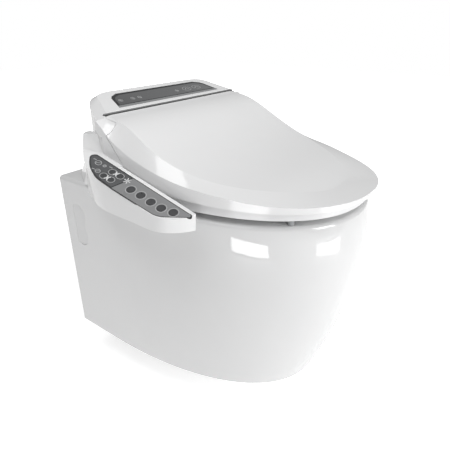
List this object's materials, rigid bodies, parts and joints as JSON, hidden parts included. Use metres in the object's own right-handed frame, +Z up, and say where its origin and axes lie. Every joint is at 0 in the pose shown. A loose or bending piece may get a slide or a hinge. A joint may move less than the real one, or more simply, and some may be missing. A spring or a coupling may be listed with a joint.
{
  "type": "smart toilet",
  "caption": "Wall-hung smart toilet: glazed pan, heated seat and closed lid on a rear housing, side control arm with round keys, retracting wash nozzles.",
  "frame": {"origin": "middle of the two wall fixing holes, on the wall face", "axes": "+Z up, -Y to the front (away from the wall), +X to the right when facing the wall"},
  "size_m": [0.4396, 0.529, 0.4917],
  "materials": {
    "glazed_pan": "gloss white glaze",
    "white_shell": "gloss white moulding",
    "white_seat": "gloss white moulding",
    "grey_plastic": "matte light grey",
    "dark_channel": "matte charcoal",
    "panel_film": "satin dark grey film",
    "panel_band": "satin mid grey film",
    "zinc_plate": "zinc plated",
    "black_rubber": "matte black",
    "grey_rubber": "matte grey",
    "steel_pin": "ground steel",
    "heating_foil": "foil",
    "dark_fascia": "gloss charcoal",
    "grey_inlay": "satin grey",
    "key_cap": "gloss charcoal",
    "circuit": "green lacquer",
    "nozzle_white": "gloss white",
    "black_plastic": "matte black",
    "inlet_brass": "machined",
    "sensor_lens": "dark infrared lens"
  },
  "bodies": {
    "toilet": {"pan": "glazed_pan", "mounting_plate": "zinc_plate", "fixing_screws": "zinc_plate", "expansion_bushes": "black_rubber", "fixing_nuts": "zinc_plate", "housing_base": "grey_plastic", "housing_cover": "white_shell", "hinge_channel": "dark_channel", "top_panel": "panel_film", "panel_band": "panel_band", "hinge_brackets": "grey_plastic", "hinge_pin_left": "steel_pin", "hinge_pin_right": "steel_pin", "damper_left": "grey_plastic", "damper_right": "grey_plastic", "control_arm": "white_shell", "arm_fascia": "dark_fascia", "key_plate": "grey_inlay", "key_board": "circuit", "nozzle_guide": "grey_plastic", "nozzle_motor": "black_plastic", "water_tank": "grey_plastic", "inlet_valve": "black_plastic", "water_inlet": "inlet_brass", "water_hose": "grey_rubber", "control_board": "circuit", "dryer_fan": "black_plastic", "dryer_duct": "grey_plastic", "power_gland": "black_plastic", "sensor_window": "sensor_lens"},
    "seat": {"seat_top": "white_seat", "seat_base": "white_seat", "seat_heater": "heating_foil", "seat_buffers": "grey_rubber"},
    "lid": {"lid": "white_shell", "lid_buffers": "grey_rubber"},
    "wash": {"wash_nozzle": "nozzle_white"},
    "bidet": {"bidet_nozzle": "nozzle_white"},
    "key_1": {"key_1": "key_cap"},
    "key_2": {"key_2": "key_cap"},
    "key_3": {"key_3": "key_cap"},
    "key_4": {"key_4": "key_cap"},
    "key_5": {"key_5": "key_cap"}
  },
  "joints": [
    {"name": "seat_hinge", "type": "hinge", "parent": "toilet", "child": "seat", "pos_m": [0, -0.157, 0.198], "axis": [1, 0, 0], "range_deg": [-95, 0]},
    {"name": "lid_hinge", "type": "hinge", "parent": "seat", "child": "lid", "pos_m": [0, -0.157, 0.198], "axis": [-1, 0, 0], "range_deg": [0, 100]},
    {"name": "key_1_press", "type": "slide", "parent": "toilet", "child": "key_1", "axis": [0.3036, 0.2475, -0.9201], "range_m": [0, 0.0012], "stiffness_N_per_m": 500, "springref_m": -0.0006},
    {"name": "key_2_press", "type": "slide", "parent": "toilet", "child": "key_2", "axis": [0.3036, 0.2475, -0.9201], "range_m": [0, 0.0012], "stiffness_N_per_m": 500, "springref_m": -0.0006},
    {"name": "key_3_press", "type": "slide", "parent": "toilet", "child": "key_3", "axis": [0.3036, 0.2475, -0.9201], "range_m": [0, 0.0012], "stiffness_N_per_m": 500, "springref_m": -0.0006},
    {"name": "key_4_press", "type": "slide", "parent": "toilet", "child": "key_4", "axis": [0.3036, 0.2475, -0.9201], "range_m": [0, 0.0012], "stiffness_N_per_m": 500, "springref_m": -0.0006},
    {"name": "key_5_press", "type": "slide", "parent": "toilet", "child": "key_5", "axis": [0.3036, 0.2475, -0.9201], "range_m": [0, 0.0012], "stiffness_N_per_m": 500, "springref_m": -0.0006},
    {"name": "wash_travel", "type": "slide", "parent": "toilet", "child": "wash", "axis": [0, -0.866, -0.5], "range_m": [0, 0.084]},
    {"name": "bidet_travel", "type": "slide", "parent": "toilet", "child": "bidet", "axis": [0, -0.866, -0.5], "range_m": [0, 0.084]}
  ]
}
